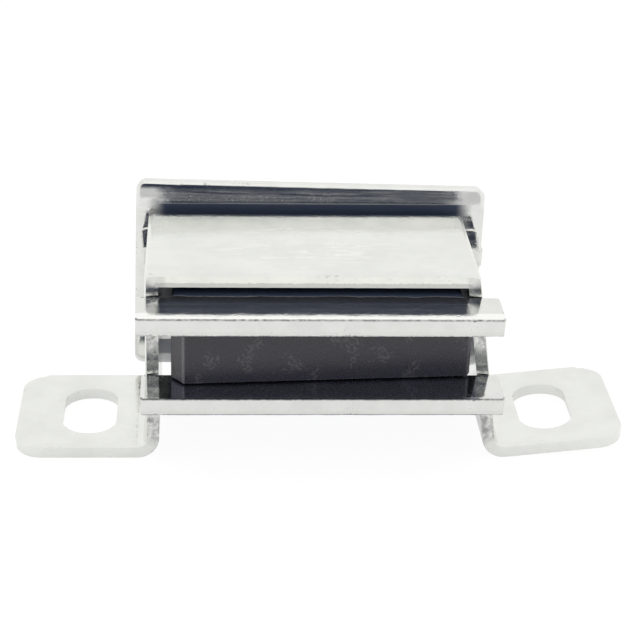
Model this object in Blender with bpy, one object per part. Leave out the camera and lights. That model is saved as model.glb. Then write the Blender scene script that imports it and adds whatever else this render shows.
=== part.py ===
"""Magnetic cabinet catch with its strike plate on the poles, at real size in metres, +Z up.

The catch stands on the two ears of its housing, with the mounting face at Z = 0. X runs along
the pole plates, and +Y points out of the mouth, towards the strike plate. Lengths below are first
worked out from the middle of the housing's rear edge, and the origin is then put in the middle of
the whole footprint. The right leg of the housing is bent out, as on the real one.
"""

import math

import bmesh
import bpy
from mathutils import Vector

mm = 0.001

# Housing: one strip of aluminium, folded to a hat section
SHEET = 1.2 * mm
COVER_BEND_RADIUS = 1.25 * mm
COVER_CORNER_RADIUS = 0.55 * mm
EAR_LENGTH = 11.9 * mm
EAR_BEND_RADIUS = 0.8 * mm
EAR_CORNER_RADIUS = 2.6 * mm
RIGHT_LEG_SPLAY = math.radians(7.9)
RIGHT_EAR_LIFT = math.radians(6.1)
SLOT_WIDTH = 4.9 * mm
SLOT_LENGTH = 9.2 * mm
SLOT_FROM_WALL = 5.3 * mm
HOUSING_ROLL_WIDTH = 0.5 * mm
HOUSING_ROLL_DEPTH = 0.4 * mm

# Pole plates: two equal steel stampings, each with a bar at the rear, a waist and a bar at the front
POLE_LENGTH = 31.75 * mm
POLE_DEPTH = 20.8 * mm
POLE_THICKNESS = 1.6 * mm
POLE_BAR_DEPTH = 4.9 * mm
POLE_LUG_LENGTH = 3.175 * mm
POLE_CORNER_RADIUS = 0.35 * mm
WAIST_CORNER_RADIUS = 0.6 * mm
POLE_ROLL_WIDTH = 0.5 * mm
POLE_ROLL_DEPTH = 0.15 * mm
PACK_HEIGHT = 6.83 * mm
PACK_SLACK_TAKEN = 0.4 * mm
LOWER_PLATE_SLIP = 0.35 * mm

# Magnet: a pressed ferrite block
MAGNET_OVERHANG = 0.4 * mm
MAGNET_DEPTH = 13.0 * mm
MAGNET_THICKNESS = 5.72 * mm
MAGNET_RECESS = 4.4 * mm
MAGNET_CHAMFER_LENGTH = 0.9 * mm
MAGNET_CHAMFER_DEPTH = 1.5 * mm
MAGNET_EDGE_RADIUS = 0.2 * mm
MAGNET_SKEW = math.radians(3.8)

# Strike plate: a steel stamping with a pillowed face and one countersunk screw hole
STRIKE_OVERLAP = 0.57 * mm
STRIKE_HEIGHT = 18.75 * mm
STRIKE_THICKNESS = 1.6 * mm
STRIKE_CORNER_RADIUS = 0.9 * mm
STRIKE_ROLL_WIDTH = 2.9 * mm
STRIKE_ROLL_DEPTH = 0.78 * mm
STRIKE_OFFSET = 0.32 * mm
STRIKE_DROP = 0.45 * mm
STRIKE_TURN = math.radians(1.1)
SCREW_HOLE_RADIUS = 1.9 * mm
COUNTERSINK_RADIUS = 3.3 * mm
COUNTERSINK_DEPTH = 1.2 * mm

# Fits
SEAT_GAP = 0.1 * mm
WALL_CLEARANCE = 0.9 * mm
COVER_CLEARANCE = 0.75 * mm
POLE_PROUD = 0.9 * mm
PACK_TRAVEL = 0.5 * mm
NOTCH_CLEARANCE = 0.25 * mm
NOTCH_CORNER_RADIUS = 0.3 * mm
BURR_RADIUS = 0.08 * mm

# Smoothness of round shapes
ROLL_STEPS = 5
BEND_STEPS = 12
STEPS_PER_TURN = 24
LEAST_RADIUS = 0.04 * mm
SAME_PLACE = 0.0001 * mm
SMOOTH_ANGLE = math.radians(28)

for leftover in list(bpy.data.objects):
    bpy.data.objects.remove(leftover, do_unlink=True)


def metal(name, colour, roughness, metallic):
    """A plain surface for one kind of piece."""
    material = bpy.data.materials.new(name)
    material.use_nodes = True
    shader = material.node_tree.nodes["Principled BSDF"]
    shader.inputs["Base Color"].default_value = (*colour, 1.0)
    shader.inputs["Roughness"].default_value = roughness
    shader.inputs["Metallic"].default_value = metallic
    material.diffuse_color = (*colour, 1.0)
    return material


def turned(point, angle):
    """A plane vector, turned counter-clockwise."""
    cosine, sine = math.cos(angle), math.sin(angle)
    return Vector((point.x * cosine - point.y * sine, point.x * sine + point.y * cosine))


def rounded_outline(corners):
    """The points of a closed outline whose corners are given as (x, y, radius)."""
    points = []
    for index, (x, y, radius) in enumerate(corners):
        corner = Vector((x, y))
        back = (Vector(corners[index - 1][:2]) - corner).normalized()
        ahead = (Vector(corners[(index + 1) % len(corners)][:2]) - corner).normalized()
        half = back.angle(ahead) / 2
        turn = math.copysign(math.pi - 2 * half, ahead.x * back.y - ahead.y * back.x)
        centre = corner + (back + ahead).normalized() * radius / math.sin(half)
        spoke = corner + back * radius / math.tan(half) - centre
        steps = max(2, round(STEPS_PER_TURN * abs(turn) / math.tau))
        points += [centre + turned(spoke, turn * step / steps) for step in range(steps + 1)]
    return points


def slot_outline(x, y, width, length):
    """A slot with round ends, its length along Y, run clockwise as an opening."""
    half_turn = STEPS_PER_TURN // 2
    points = []
    for side in (1, -1):
        centre = Vector((x, y + side * (length - width) / 2))
        for step in range(half_turn + 1):
            angle = math.pi * (1 - step / half_turn)
            points.append(centre + side * width / 2 * Vector((math.cos(angle), math.sin(angle))))
    return points


def round_outline(radius):
    """A round hole about the middle of its plate, run clockwise as an opening."""
    angles = [-math.tau * step / STEPS_PER_TURN for step in range(STEPS_PER_TURN)]
    return [radius * Vector((math.cos(angle), math.sin(angle))) for angle in angles]


def set_in(outline, distance):
    """The outline, moved into the sheet, which lies on its left."""
    moved = []
    for index, point in enumerate(outline):
        before = (point - outline[index - 1]).normalized()
        after = (outline[(index + 1) % len(outline)] - point).normalized()
        left_before = Vector((-before.y, before.x))
        left_after = Vector((-after.y, after.x))
        mitre = (left_before + left_after) / (1 + left_before.dot(left_after))
        moved.append(point + mitre * distance)
    return moved


def outer_rings(corners, profile):
    """The rings of an outer edge: outward corners get tighter as they are set in, others wider."""
    plain = [Vector(corner[:2]) for corner in corners]
    rings = []
    for inset, height in profile:
        moved = []
        for index, place in enumerate(set_in(plain, inset)):
            before = plain[index] - plain[index - 1]
            after = plain[(index + 1) % len(plain)] - plain[index]
            growth = math.copysign(inset, after.x * before.y - after.y * before.x)
            radius = max(corners[index][2] + growth, LEAST_RADIUS)
            moved.append((place.x, place.y, radius))
        rings.append((rounded_outline(moved), height))
    return rings


def hole_rings(outline, profile):
    """The rings of a hole's edge."""
    return [(set_in(outline, inset), height) for inset, height in profile]


def rolled_edge(thickness, roll_width, roll_depth):
    """A sheared edge from face to back, as (set in, height): die roll, land, broken burr."""
    angles = [math.pi / 2 * step / ROLL_STEPS for step in range(ROLL_STEPS + 1)]
    profile = [
        (roll_width * (1 - math.sin(angle)), thickness / 2 - roll_depth * (1 - math.cos(angle)))
        for angle in angles
    ]
    return profile + [(0.0, BURR_RADIUS - thickness / 2), (BURR_RADIUS, -thickness / 2)]


def sheet_mesh(edges):
    """A flat sheet from the rings of its edges, each ring as (points, height), face to back."""
    mesh = bmesh.new()
    face_rim, back_rim = [], []
    for rings in edges:
        loops = []
        for points, height in rings:
            loops.append([mesh.verts.new((point.x, point.y, height)) for point in points])
        turns = range(len(loops[0]))
        for upper, lower in zip(loops, loops[1:]):
            for index in turns:
                mesh.faces.new((upper[index - 1], upper[index], lower[index], lower[index - 1]))
        face_rim += [mesh.edges.get((loops[0][index - 1], loops[0][index])) for index in turns]
        back_rim += [mesh.edges.get((loops[-1][index - 1], loops[-1][index])) for index in turns]
    for rim in (face_rim, back_rim):
        bmesh.ops.triangle_fill(mesh, use_beauty=True, edges=rim, normal=(0, 0, 1))
    bmesh.ops.recalc_face_normals(mesh, faces=mesh.faces[:])
    return mesh


def finished(name, mesh, material):
    """The object for one piece, smooth over its rounds and sharp at its sheared edges."""
    data = bpy.data.meshes.new(name)
    mesh.to_mesh(data)
    mesh.free()
    data.materials.append(material)
    data.shade_smooth()
    data.set_sharp_from_angle(angle=SMOOTH_ANGLE)
    piece = bpy.data.objects.new(name, data)
    bpy.context.collection.objects.link(piece)
    return piece


def guide(name, location):
    """An empty that carries the pieces of one moving body."""
    empty = bpy.data.objects.new(name, None)
    empty.empty_display_size = SHEET
    empty.location = location
    bpy.context.collection.objects.link(empty)
    return empty


# Sizes that follow from the pieces which sit on each other

waist_length = POLE_LENGTH - 2 * POLE_LUG_LENGTH
magnet_length = waist_length + 2 * MAGNET_OVERHANG
strike_length = POLE_LENGTH + 2 * STRIKE_OVERLAP

lower_pole_height = PACK_HEIGHT
magnet_height = lower_pole_height + POLE_THICKNESS + SEAT_GAP
upper_pole_height = magnet_height + MAGNET_THICKNESS + SEAT_GAP
pack_rear = -SEAT_GAP - POLE_BAR_DEPTH
pack_front = pack_rear + POLE_DEPTH
front_bar_rear = pack_front - POLE_BAR_DEPTH
notch_floor = front_bar_rear - PACK_TRAVEL - SEAT_GAP
strike_face = pack_front + SEAT_GAP

cover_width = waist_length + 2 * (WALL_CLEARANCE + SHEET)
housing_height = upper_pole_height + POLE_THICKNESS + COVER_CLEARANCE + SHEET
strip_width = pack_front - POLE_PROUD

# The folded strip's middle line, walked from the left ear's end to the right ear's end.
# Each stretch is a length and the angle that it turns, counter-clockwise.

cover_bend = COVER_BEND_RADIUS - SHEET / 2
ear_bend = EAR_BEND_RADIUS + SHEET / 2
ear_flat = EAR_LENGTH - EAR_BEND_RADIUS
square = math.pi / 2
right_drop = square - RIGHT_LEG_SPLAY
left_wall = housing_height - COVER_BEND_RADIUS - EAR_BEND_RADIUS - SHEET
right_wall = (
    housing_height - SHEET - (cover_bend + ear_bend) * (1 - math.cos(right_drop))
) / math.sin(right_drop)

left_ear = [(ear_flat, 0.0), (ear_bend * square, square)]
cover = [
    (cover_bend * square, -square),
    (cover_width - 2 * COVER_BEND_RADIUS, 0.0),
    (cover_bend * right_drop, -right_drop),
]
right_ear = [
    (ear_bend * (right_drop + RIGHT_EAR_LIFT), right_drop + RIGHT_EAR_LIFT),
    (ear_flat, 0.0),
]
up_to_right_wall = left_ear + [(left_wall, 0.0)] + cover
stretches = up_to_right_wall + [(right_wall, 0.0)] + right_ear
strip_length = sum(length for length, turn in stretches)


def left_of(heading):
    """The direction a quarter turn to the left of a heading, in the X-Z plane."""
    return Vector((-math.sin(heading), math.cos(heading)))


def set_square(turn_so_far, turn):
    """How much the die sets a bend out towards a square corner, as a share of its radius."""
    half = abs(turn) / 2
    off_middle = abs(abs(turn_so_far) - half)
    arm = COVER_BEND_RADIUS - COVER_CORNER_RADIUS
    rounded = half - math.atan(arm * math.tan(half) / COVER_BEND_RADIUS)
    if off_middle > rounded:
        reach = COVER_BEND_RADIUS / math.cos(half - off_middle)
    else:
        centre = arm / math.cos(half)
        across = centre * math.sin(off_middle)
        reach = centre * math.cos(off_middle) + math.sqrt(COVER_CORNER_RADIUS**2 - across**2)
    return reach / COVER_BEND_RADIUS


def folded(along, out):
    """Where a place on the flat strip comes to, in X and Z, and the strip's heading there."""
    place = Vector((-cover_width / 2 - EAR_LENGTH, SHEET / 2))
    heading = 0.0
    for index, (length, turn) in enumerate(stretches):
        last = index == len(stretches) - 1
        part = along if last else min(along, length)
        if turn:
            radius = length / turn
            centre = place + left_of(heading) * radius
            turn_so_far = turn * part / length
            heading += turn_so_far
            place = centre - left_of(heading) * radius
            if turn < 0 and along <= length:
                spread = set_square(turn_so_far, turn)
                return centre + left_of(heading) * (out - radius) * spread, heading
        else:
            place = place + turned(left_of(heading), -square) * part
        along -= part
        if along <= 0:
            break
    return place + left_of(heading) * out, heading


def strip_place(height, before_wall):
    """How far along the strip the wall after some stretches stands at a height."""
    first = sum(length for length, turn in before_wall)
    start, heading = folded(first, 0.0)
    return first + (height - start.y) / math.sin(heading)


left_end = folded(0.0, 0.0)[0].x
right_end = folded(strip_length, -SHEET / 2)[0].x

footprint_middle = Vector(
    ((left_end + right_end) / 2, (pack_rear + strike_face + STRIKE_THICKNESS) / 2, 0.0)
)


def notches(before_wall):
    """The corners of one wall's two open notches, in order along the strip."""
    levels = []
    for height in (lower_pole_height, upper_pole_height):
        low = strip_place(height - NOTCH_CLEARANCE, before_wall)
        high = strip_place(height + POLE_THICKNESS + NOTCH_CLEARANCE, before_wall)
        levels.append(sorted((low, high)))
    corners = []
    for first, second in sorted(levels):
        corners += [(first, strip_width), (first, notch_floor)]
        corners += [(second, notch_floor), (second, strip_width)]
    return corners


def housing_mesh():
    """The flat blank, with its slots and notches, folded along the bend lines."""
    notch_corners = notches(left_ear) + notches(up_to_right_wall)
    far_edge = [(x, y, NOTCH_CORNER_RADIUS) for x, y in notch_corners]
    corners = [(0.0, 0.0, EAR_CORNER_RADIUS), (strip_length, 0.0, EAR_CORNER_RADIUS)]
    corners.append((strip_length, strip_width, EAR_CORNER_RADIUS))
    corners += reversed(far_edge)
    corners.append((0.0, strip_width, EAR_CORNER_RADIUS))
    slot_place = EAR_LENGTH - SLOT_FROM_WALL
    edge = rolled_edge(SHEET, HOUSING_ROLL_WIDTH, HOUSING_ROLL_DEPTH)
    edges = [outer_rings(corners, edge)]
    for along in (slot_place, strip_length - slot_place):
        slot = slot_outline(along, strip_width / 2, SLOT_WIDTH, SLOT_LENGTH)
        edges.append(hole_rings(slot, edge))
    mesh = sheet_mesh(edges)
    start = 0.0
    for length, turn in stretches:
        steps = BEND_STEPS if turn else 1
        for step in range(steps):
            fold = start + length * step / steps
            everything = mesh.verts[:] + mesh.edges[:] + mesh.faces[:]
            bmesh.ops.bisect_plane(
                mesh, geom=everything, dist=SAME_PLACE, plane_co=(fold, 0, 0), plane_no=(1, 0, 0)
            )
        start += length
    for vert in mesh.verts:
        place, heading = folded(vert.co.x, vert.co.z)
        vert.co = (place.x, vert.co.y, place.y)
    return mesh


def pole_mesh():
    """A pole plate about its own middle, with a gap at each side for the housing's wall."""
    end, waist = POLE_LENGTH / 2, waist_length / 2
    rear, front = -POLE_DEPTH / 2, POLE_DEPTH / 2
    rear_step, front_step = rear + POLE_BAR_DEPTH, front - POLE_BAR_DEPTH
    outer, inner = POLE_CORNER_RADIUS, WAIST_CORNER_RADIUS
    right_side = [(end, rear, outer), (end, rear_step, outer), (waist, rear_step, inner)]
    right_side += [(waist, front_step, inner), (end, front_step, outer), (end, front, outer)]
    left_side = [(-x, y, radius) for x, y, radius in reversed(right_side)]
    edge = rolled_edge(POLE_THICKNESS, POLE_ROLL_WIDTH, POLE_ROLL_DEPTH)
    return sheet_mesh([outer_rings(right_side + left_side, edge)])


def magnet_mesh():
    """The magnet about its own middle, with chamfered upright corners."""
    end, side = magnet_length / 2, MAGNET_DEPTH / 2
    short_end, short_side = end - MAGNET_CHAMFER_LENGTH, side - MAGNET_CHAMFER_DEPTH
    right_side = [(short_end, -side), (end, -short_side), (end, short_side), (short_end, side)]
    left_side = [(-x, y) for x, y in reversed(right_side)]
    corners = [(x, y, MAGNET_EDGE_RADIUS) for x, y in right_side + left_side]
    edge = rolled_edge(MAGNET_THICKNESS, MAGNET_EDGE_RADIUS, MAGNET_EDGE_RADIUS)
    return sheet_mesh([outer_rings(corners, edge)])


def strike_mesh():
    """The strike plate about its own middle, lying on its back with its face up."""
    end, side = strike_length / 2, STRIKE_HEIGHT / 2
    places = [(-end, -side), (end, -side), (end, side), (-end, side)]
    corners = [(x, y, STRIKE_CORNER_RADIUS) for x, y in places]
    edge = rolled_edge(STRIKE_THICKNESS, STRIKE_ROLL_WIDTH, STRIKE_ROLL_DEPTH)
    flare = COUNTERSINK_RADIUS - SCREW_HOLE_RADIUS
    face = STRIKE_THICKNESS / 2
    bore = [(flare, face), (0.0, face - COUNTERSINK_DEPTH), (0.0, -face)]
    hole = round_outline(SCREW_HOLE_RADIUS)
    return sheet_mesh([outer_rings(corners, edge), hole_rings(hole, bore)])


aluminium = metal("tumbled_aluminium", (0.80, 0.81, 0.78), 0.25, 1.0)
plated_steel = metal("plated_steel", (0.76, 0.77, 0.75), 0.18, 1.0)
ferrite = metal("ferrite", (0.06, 0.06, 0.065), 0.55, 0.2)

# Housing

housing = finished("housing", housing_mesh(), aluminium)
housing.location = -footprint_middle

# Pole pack, which slides a little along Y in the walls' notches

pack_middle = Vector((PACK_SLACK_TAKEN, (pack_rear + pack_front) / 2, magnet_height))
pole_pack = guide("pole_pack_slide", pack_middle - footprint_middle)
pole_middle = POLE_THICKNESS / 2 - magnet_height

upper_pole_plate = finished("upper_pole_plate", pole_mesh(), plated_steel)
upper_pole_plate.location = (0.0, 0.0, upper_pole_height + pole_middle)

lower_pole_plate = finished("lower_pole_plate", pole_mesh(), plated_steel)
lower_pole_plate.location = (LOWER_PLATE_SLIP, 0.0, lower_pole_height + pole_middle)

magnet = finished("magnet", magnet_mesh(), ferrite)
magnet_setback = (POLE_DEPTH - MAGNET_DEPTH) / 2 - MAGNET_RECESS
magnet.location = (0.0, magnet_setback, MAGNET_THICKNESS / 2)
magnet.rotation_euler = (0.0, 0.0, MAGNET_SKEW)

for piece in (upper_pole_plate, lower_pole_plate, magnet):
    piece.parent = pole_pack

# Strike plate, which pulls straight off the poles along +Y

strike_middle = Vector(
    (
        STRIKE_OFFSET,
        strike_face + STRIKE_THICKNESS / 2,
        magnet_height + MAGNET_THICKNESS / 2 - STRIKE_DROP,
    )
)
strike = guide("strike_slide", strike_middle - footprint_middle)
strike_plate = finished("strike_plate", strike_mesh(), plated_steel)
strike_plate.rotation_euler = (square, STRIKE_TURN, 0.0)
strike_plate.parent = strike
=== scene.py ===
"""The looks of a magnetic cabinet catch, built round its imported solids.

The housing, the two pole plates, the magnet and the strike plate are made again here from the same
sizes, with finer rounds, sheared edges and surfaces, and each stands where its solid is.
"""

import math

import bmesh
import bpy
import numpy as np
from mathutils import Matrix, Vector, noise


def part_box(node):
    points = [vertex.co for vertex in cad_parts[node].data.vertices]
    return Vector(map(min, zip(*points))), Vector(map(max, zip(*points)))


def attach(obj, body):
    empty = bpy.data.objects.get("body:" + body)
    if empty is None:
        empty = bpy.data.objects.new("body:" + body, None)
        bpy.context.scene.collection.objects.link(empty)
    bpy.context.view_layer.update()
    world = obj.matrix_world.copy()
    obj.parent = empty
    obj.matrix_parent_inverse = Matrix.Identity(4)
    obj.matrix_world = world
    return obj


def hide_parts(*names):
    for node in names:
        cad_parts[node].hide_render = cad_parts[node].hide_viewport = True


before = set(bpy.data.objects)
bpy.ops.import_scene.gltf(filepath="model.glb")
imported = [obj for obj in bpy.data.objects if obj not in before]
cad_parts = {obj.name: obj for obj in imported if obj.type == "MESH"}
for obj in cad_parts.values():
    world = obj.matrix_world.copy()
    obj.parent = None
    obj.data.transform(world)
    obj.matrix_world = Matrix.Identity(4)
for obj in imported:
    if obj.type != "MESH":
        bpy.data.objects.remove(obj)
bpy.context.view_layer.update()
mm = 0.001


# Housing
# One strip of soft aluminium, sheared and pierced flat, folded to a hat shape and tumbled bright.
# Its right leg has been bent out. Each ear takes a screw, and the walls' notches hold the plates.

STRIP_THICKNESS = 1.2 * mm
STRIP_WIDTH = 14.9 * mm
COVER_WIDTH = 29.6 * mm
HOUSING_HEIGHT = 17.9 * mm
COVER_BEND = 1.25 * mm
COVER_CORNER = 0.55 * mm
EAR_LENGTH = 11.9 * mm
EAR_BEND = 0.8 * mm
EAR_CORNER = 2.6 * mm
LEG_SPLAY = math.radians(7.9)
EAR_LIFT = math.radians(6.1)
SLOT_WIDTH = 4.9 * mm
SLOT_LENGTH = 9.2 * mm
SLOT_FROM_WALL = 5.3 * mm
NOTCH_DEPTH = 4.6 * mm
NOTCH_CORNER = 0.3 * mm
NOTCH_HEIGHTS = ((6.58 * mm, 8.68 * mm), (14.1 * mm, 16.2 * mm))
STRIP_ROLL = (0.7 * mm, 0.14 * mm, math.radians(60))

ALUMINIUM = (0.83, 0.84, 0.81, 1.0)
FILMED_ALUMINIUM = (0.7719, 0.7812, 0.7533, 1.0)
SCUFFED_ALUMINIUM = (0.93, 0.93, 0.91, 1.0)
NICKED_ALUMINIUM = (0.34, 0.34, 0.35, 1.0)
# Chalky cut edge at the bends, matt for real, its light tone a painted highlight
CHALKY_LIT_ALUMINIUM = (0.95, 0.95, 0.93, 1.0)
TORN_ALUMINIUM = (0.36, 0.36, 0.36, 1.0)
# Darker, mottled cut edges down the walls, darkest next to the cover
DARK_WALL_EDGE = (0.14, 0.14, 0.15, 1.0)
# Painted shade: the cover's underside, dark navy where only shade falls inside
UNDERSIDE_SHADE = (0.06, 0.085, 0.165, 1.0)

# Soft-sided bands along the strip, measured out from the middle of the cover
CHALKY_LIT_BEND = [COVER_WIDTH * share for share in (0.452, 0.47, 0.478, 0.498)]
DARK_WALL_BAND = [COVER_WIDTH * share for share in (0.485, 0.52, 0.98, 1.02)]
DARK_WALL_THINS = [COVER_WIDTH * share for share in (0.55, 0.6)]
COVER_ENDS = [COVER_WIDTH * share for share in (0.46, 0.5)]

RIGHT_ANGLE = math.pi / 2
OUTLINE_STEP = 0.4 * mm
GRID_STEP = 1.0 * mm
ROLL_STEPS = 12
BEND_STEPS = 20
ARC_STEP = math.radians(7.5)
FEWEST_ARC_STEPS = 3
TIGHTEST_CORNER = 0.04 * mm
BURR = 0.04 * mm
CRISP_SHARE = 0.2
UNDERCUT = math.tan(math.radians(6.5))
SINK_PER_WAVER = 2.3
SINK_OFFSET = Vector((0.0, 0.0, 9.0))
SAME_PLACE = 1e-7

# The ring of an edge that distances to it start from, counted from the back
OUTLINE_RING = -4


def turned(arm, angle):
    """A plane vector, turned counter-clockwise."""
    cosine, sine = math.cos(angle), math.sin(angle)
    return Vector((arm.x * cosine - arm.y * sine, arm.x * sine + arm.y * cosine))


def corner_arc(before, corner, after, radius):
    """Where a rounded corner starts, its centre, and how far it turns."""
    back = (before - corner).normalized()
    ahead = (after - corner).normalized()
    half = back.angle(ahead) / 2
    turn = math.copysign(math.pi - 2 * half, ahead.x * back.y - ahead.y * back.x)
    centre = corner + (back + ahead).normalized() * radius / math.sin(half)
    return corner + back * radius / math.tan(half), centre, turn


def sheared_outline(corners, inset, steps=None):
    """The outline of a blank, set in from its edge, and the steps that its stretches take.

    Corners are (x, y, radius), counter-clockwise. Outward ones get tighter as they are set in.
    """
    plain = [Vector(corner[:2]) for corner in corners]
    count = len(plain)
    places, radii = [], []
    for index, place in enumerate(plain):
        before = (place - plain[index - 1]).normalized()
        after = (plain[(index + 1) % count] - place).normalized()
        left_before, left_after = turned(before, RIGHT_ANGLE), turned(after, RIGHT_ANGLE)
        mitre = (left_before + left_after) / (1 + left_before.dot(left_after))
        growth = math.copysign(inset, after.x * before.y - after.y * before.x)
        places.append(place + mitre * inset)
        radii.append(max(corners[index][2] + growth, TIGHTEST_CORNER))
    arcs = []
    for index in range(count):
        neighbours = places[index - 1], places[index], places[(index + 1) % count]
        arcs.append(corner_arc(*neighbours, radii[index]))
    ends = [centre + turned(start - centre, turn) for start, centre, turn in arcs]
    if steps is None:
        steps = []
        for index, (start, centre, turn) in enumerate(arcs):
            straight = (arcs[(index + 1) % count][0] - ends[index]).length
            round_steps = max(FEWEST_ARC_STEPS, round(abs(turn) / ARC_STEP))
            steps.append((round_steps, max(1, round(straight / OUTLINE_STEP))))
    points = []
    for index, (start, centre, turn) in enumerate(arcs):
        round_steps, straight_steps = steps[index]
        for step in range(round_steps):
            points.append(centre + turned(start - centre, turn * step / round_steps))
        following = arcs[(index + 1) % count][0]
        for step in range(straight_steps):
            points.append(ends[index].lerp(following, step / straight_steps))
    return points, steps


def sheared_edge(thickness, roll, undercut=UNDERCUT):
    """A sheared edge, face to back: a roll, then the cut, as (set in, height, how far cut)."""
    width, depth, last = roll
    top = thickness / 2
    profile = []
    for step in range(ROLL_STEPS + 1):
        angle = last * step / ROLL_STEPS
        inset = width * (1 - math.sin(angle) / math.sin(last))
        drop = depth * (1 - math.cos(angle)) / (1 - math.cos(last))
        profile.append((inset, top - drop, float(step == ROLL_STEPS)))
    land = thickness - depth
    profile.append((undercut * land / 2, land / 2 - top, 1.0))
    profile.append((undercut * land, -top, 1.0))
    profile.append((undercut * land + BURR, -top, 0.0))
    return profile


def uneven(base, moved, height, waver, grain):
    """A ring of points that wavers in and down along the edge, as a worn tool leaves it."""
    ring = []
    for at_edge, point in zip(base, moved):
        place = Vector((at_edge.x, at_edge.y, 0.0)) / grain
        inward = point - at_edge
        share = min(1.0, inward.length / (2 * waver))
        at = at_edge + inward + inward.normalized() * share * waver * noise.noise(place)
        sink = max(0.0, noise.noise(place * SINK_PER_WAVER + SINK_OFFSET)) * (1 - share)
        ring.append(Vector((at.x, at.y, height - sink * waver)))
    return ring


def edge_rings(corners, profile, waver=0.04 * mm, grain=0.9 * mm, crisp_from=math.inf):
    """The rings of a blank's outer edge, as (points, how far it is cut).

    The stretch beyond crisp_from along Y was sheared from the other side, and has hardly any roll.
    """
    base, steps = sheared_outline(corners, 0.0)
    face = profile[0][1]
    rings = []
    for inset, height, cut in profile:
        ring = uneven(base, sheared_outline(corners, inset, steps)[0], height, waver, grain)
        if height > 0:
            for at_edge, point in zip(base, ring):
                if at_edge.y > crisp_from:
                    point.xy = at_edge + CRISP_SHARE * (point.xy - at_edge)
                    point.z = face - CRISP_SHARE * (face - point.z)
        rings.append((ring, cut))
    return rings


def slot_rings(x, y, width, length, profile):
    """The rings of a slot with round ends, its length along Y, run clockwise."""
    turns = round(math.pi / ARC_STEP)
    straight = max(1, round((length - width) / OUTLINE_STEP))
    rings = []
    for inset, height, cut in profile:
        points = []
        for side in (1, -1):
            centre = Vector((x, y + side * (length - width) / 2))
            for step in range(turns):
                angle = math.pi * (1 - step / turns)
                spoke = Vector((math.cos(angle), math.sin(angle)))
                points.append(centre + side * (width / 2 + inset) * spoke)
            corner = centre + side * Vector((width / 2 + inset, 0.0))
            opposite = Vector((corner.x, 2 * y - corner.y))
            for step in range(straight):
                points.append(corner.lerp(opposite, step / straight))
        rings.append(([Vector((point.x, point.y, height)) for point in points], cut))
    return rings


def from_edges(places, outlines):
    """How far each place on a blank is from its nearest edge."""
    nearest = np.full(len(places), np.inf)
    for outline in outlines:
        starts = np.array([point[:2] for point in outline])
        runs = np.roll(starts, -1, axis=0) - starts
        for start, run in zip(starts, runs):
            offset = places - start
            share = np.clip(offset @ run / max(run @ run, SAME_PLACE**2), 0.0, 1.0)
            gap = np.linalg.norm(offset - share[:, None] * run, axis=1)
            nearest = np.minimum(nearest, gap)
    return nearest


def blank_sheet(edges, cuts_x, cuts_y):
    """A flat blank from the rings of its edges, divided along the given lines.

    Its points keep their place on the flat blank, how far they are cut, and how far in they are.
    """
    blank = bmesh.new()
    cut_layer = blank.verts.layers.float.new("cut")
    rims = ([], [])
    for rings in edges:
        loops = []
        for points, cut in rings:
            loop = [blank.verts.new(point) for point in points]
            for vert in loop:
                vert[cut_layer] = cut
            loops.append(loop)
        turns = range(len(loops[0]))
        for upper, lower in zip(loops, loops[1:]):
            for index in turns:
                blank.faces.new((upper[index - 1], upper[index], lower[index], lower[index - 1]))
        for rim, loop in zip(rims, (loops[0], loops[-1])):
            rim += [blank.edges.get((loop[index - 1], loop[index])) for index in turns]
    for rim in rims:
        bmesh.ops.triangle_fill(blank, use_beauty=True, edges=rim, normal=(0, 0, 1))
    for cuts, normal in ((cuts_x, Vector((1, 0, 0))), (cuts_y, Vector((0, 1, 0)))):
        for place in cuts:
            everything = blank.verts[:] + blank.edges[:] + blank.faces[:]
            bmesh.ops.bisect_plane(
                blank, geom=everything, dist=SAME_PLACE, plane_co=normal * place, plane_no=normal
            )
    bmesh.ops.recalc_face_normals(blank, faces=blank.faces[:])
    flat_layer = blank.verts.layers.float_vector.new("flat")
    inner_layer = blank.verts.layers.float.new("from_edge")
    places = np.array([vert.co[:2] for vert in blank.verts])
    face = max(vert.co.z for vert in blank.verts)
    outlines = [rings[OUTLINE_RING][0] for rings in edges]
    for vert, gap in zip(blank.verts, from_edges(places, outlines)):
        vert[flat_layer] = vert.co
        vert[inner_layer] = math.hypot(gap, face - abs(vert.co.z))
    return blank


def piece_from(name, mesh, material, smooth=math.radians(30)):
    """The finished piece, smooth over its rounds and crisp where it was sheared."""
    data = bpy.data.meshes.new(name)
    mesh.to_mesh(data)
    mesh.free()
    data.materials.append(material)
    data.shade_smooth()
    data.set_sharp_from_angle(angle=smooth)
    piece = bpy.data.objects.new(name, data)
    bpy.context.collection.objects.link(piece)
    return piece


def wired(tree, kind, inputs, **settings):
    """One shader node, its inputs given as values or as the sockets that feed them."""
    made = tree.nodes.new(kind)
    for setting, value in settings.items():
        setattr(made, setting, value)
    for socket, value in inputs.items():
        if isinstance(value, bpy.types.NodeSocket):
            tree.links.new(value, made.inputs[socket])
        else:
            made.inputs[socket].default_value = value
    return made


def worked(tree, operation, *values):
    """The result of one sum on sockets or values."""
    inputs = dict(enumerate(values))
    return wired(tree, "ShaderNodeMath", inputs, operation=operation).outputs[0]


def times(tree, first, second):
    """The product of two sockets or values."""
    return worked(tree, "MULTIPLY", first, second)


def built_up(tree, value, causes):
    """A value that each (mask, how much it adds) pair changes in turn."""
    for mask, amount in causes:
        value = worked(tree, "MULTIPLY_ADD", mask, amount, value)
    return value


def eased(tree, value, low, high, to_low=0.0, to_high=1.0):
    """A value taken smoothly from one range to another, and held there."""
    inputs = {"Value": value, 1: low, 2: high, 3: to_low, 4: to_high}
    made = wired(tree, "ShaderNodeMapRange", inputs, interpolation_type="SMOOTHSTEP")
    return made.outputs[0]


def faded(tree, value, low, high):
    """One up to the first limit, and nothing past the second."""
    return eased(tree, value, low, high, 1.0, 0.0)


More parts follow.
